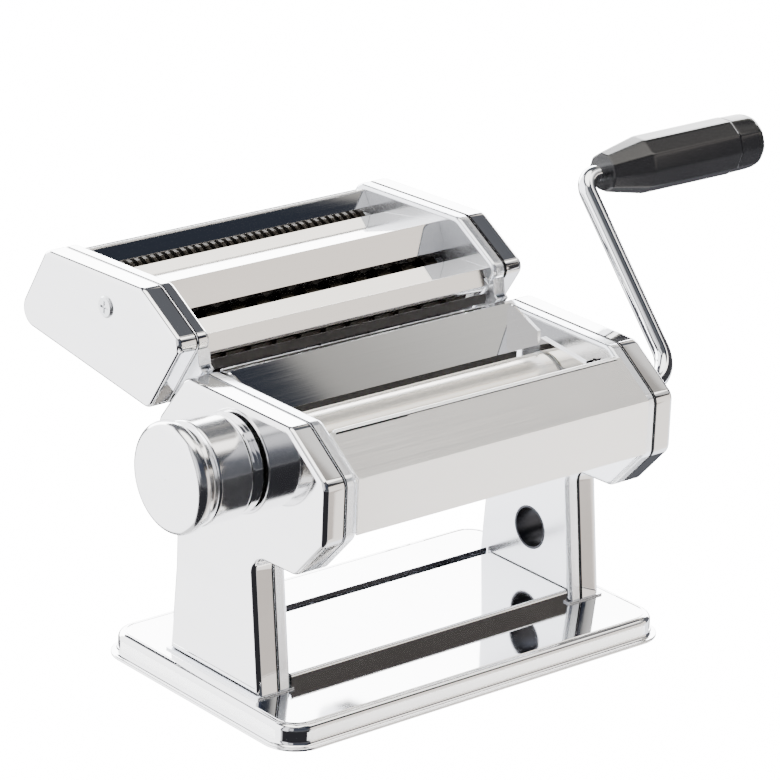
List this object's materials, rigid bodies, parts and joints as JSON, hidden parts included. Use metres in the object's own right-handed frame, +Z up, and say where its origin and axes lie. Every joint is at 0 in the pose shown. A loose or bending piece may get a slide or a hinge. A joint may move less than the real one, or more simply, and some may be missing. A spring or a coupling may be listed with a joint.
{
  "type": "pasta machine",
  "caption": "Hand-cranked pasta machine in chromed sheet steel: smooth sheet rollers with a thickness knob, a crank with a black grip and a slide-on cutter head for two noodle widths.",
  "frame": {"origin": "on the table plane, midway between the two side frames and midway along the base from front to back", "axes": "+X along the rollers towards the crank, +Y towards the back where the cutter head hangs, +Z up from the table"},
  "size_m": [0.3498, 0.2056, 0.1875],
  "materials": {
    "mirror_chrome": "polished",
    "brushed_steel": "brushed",
    "zinc_fasteners": "satin",
    "roller_metal": "satin",
    "cutter_metal": "satin",
    "gear_steel": "satin",
    "white_nylon": "matte",
    "black_grip": "gloss",
    "dark_rubber": "matte"
  },
  "bodies": {
    "root": {"base_tray": "mirror_chrome", "rubber_feet": "dark_rubber", "base_screws": "zinc_fasteners", "cross_channel": "brushed_steel", "leg_feet": "brushed_steel", "left_inner_frame": "brushed_steel", "right_inner_frame": "brushed_steel", "left_cover": "mirror_chrome", "right_cover": "mirror_chrome", "clamp_socket": "brushed_steel", "front_panel": "brushed_steel", "dough_guide": "brushed_steel", "side_guards": "brushed_steel", "tie_rods": "brushed_steel", "tie_nuts": "zinc_fasteners", "front_bushes": "white_nylon", "front_scraper": "brushed_steel", "index_disc": "mirror_chrome", "rails": "brushed_steel"},
    "front_roller": {"front_roller": "roller_metal", "front_gear": "gear_steel", "front_drive_pin": "brushed_steel"},
    "crank": {"crank_rod": "mirror_chrome", "grip_retainer": "brushed_steel"},
    "grip": {"crank_grip": "black_grip", "grip_cap": "black_grip"},
    "thickness": {"left_eccentric": "white_nylon", "right_eccentric": "white_nylon", "eccentric_link": "brushed_steel", "knob_shaft": "brushed_steel", "knob_nut": "zinc_fasteners", "knob_spring": "brushed_steel"},
    "knob": {"knob": "mirror_chrome", "knob_cap": "mirror_chrome", "detent_pin": "brushed_steel"},
    "rear_bearing": {"rear_bushes": "white_nylon", "rear_scraper": "brushed_steel"},
    "rear_roller": {"rear_roller": "roller_metal", "rear_gear": "gear_steel"},
    "cutter_head": {"cutter_left_cover": "mirror_chrome", "cutter_right_cover": "mirror_chrome", "cutter_left_frame": "brushed_steel", "cutter_right_frame": "brushed_steel", "cutter_rear_plate": "brushed_steel", "cutter_middle_plate": "brushed_steel", "cutter_front_plate": "brushed_steel", "fine_combs": "white_nylon", "wide_combs": "white_nylon", "cutter_bushes": "white_nylon", "cutter_screws": "zinc_fasteners", "cutter_tie_rods": "brushed_steel", "rail_channels": "brushed_steel"},
    "fine_front": {"fine_front_cutter": "cutter_metal", "fine_front_gear": "gear_steel"},
    "fine_rear": {"fine_rear_cutter": "cutter_metal", "fine_rear_gear": "gear_steel"},
    "wide_front": {"wide_front_cutter": "cutter_metal", "wide_front_gear": "gear_steel"},
    "wide_rear": {"wide_rear_cutter": "cutter_metal", "wide_rear_gear": "gear_steel"}
  },
  "joints": [
    {"name": "front_roller_spin", "type": "hinge", "parent": "root", "child": "front_roller", "pos_m": [0, -0.0354, 0.1035], "axis": [1, 0, 0], "continuous": true},
    {"name": "crank_pull", "type": "slide", "parent": "front_roller", "child": "crank", "axis": [1, 0, 0], "range_m": [0, 0.03]},
    {"name": "grip_spin", "type": "hinge", "parent": "crank", "child": "grip", "pos_m": [0.171, 0.02846, 0.17518], "axis": [1, 0, 0], "continuous": true},
    {"name": "thickness_turn", "type": "hinge", "parent": "root", "child": "thickness", "pos_m": [0, -0.007, 0.1035], "axis": [1, 0, 0], "range_deg": [0, 128]},
    {"name": "knob_pull", "type": "slide", "parent": "thickness", "child": "knob", "axis": [-1, 0, 0], "range_m": [0, 0.004], "stiffness_N_per_m": 900, "springref_m": -0.003, "deforming": ["knob_spring"]},
    {"name": "bearing_turn", "type": "hinge", "parent": "thickness", "child": "rear_bearing", "pos_m": [0, -0.0087, 0.1035], "axis": [1, 0, 0], "range_deg": [-128, 0]},
    {"name": "rear_roller_spin", "type": "hinge", "parent": "rear_bearing", "child": "rear_roller", "pos_m": [0, -0.0087, 0.1035], "axis": [1, 0, 0], "continuous": true},
    {"name": "head_lift", "type": "slide", "parent": "root", "child": "cutter_head", "axis": [0, -0.6046, 0.7965], "range_m": [0, 0.03]},
    {"name": "fine_front_spin", "type": "hinge", "parent": "cutter_head", "child": "fine_front", "pos_m": [0, 0.0972, 0.137], "axis": [1, 0, 0], "continuous": true},
    {"name": "fine_rear_spin", "type": "hinge", "parent": "cutter_head", "child": "fine_rear", "pos_m": [0, 0.1152, 0.137], "axis": [1, 0, 0], "continuous": true},
    {"name": "wide_front_spin", "type": "hinge", "parent": "cutter_head", "child": "wide_front", "pos_m": [0, 0.0482, 0.13], "axis": [1, 0, 0], "continuous": true},
    {"name": "wide_rear_spin", "type": "hinge", "parent": "cutter_head", "child": "wide_rear", "pos_m": [0, 0.0662, 0.13], "axis": [1, 0, 0], "continuous": true}
  ],
  "couplings": [
    {"joint": "rear_roller_spin", "follows": "front_roller_spin", "ratio": -1},
    {"joint": "bearing_turn", "follows": "thickness_turn", "ratio": -1},
    {"joint": "fine_rear_spin", "follows": "fine_front_spin", "ratio": -1},
    {"joint": "wide_front_spin", "follows": "wide_rear_spin", "ratio": -1}
  ]
}
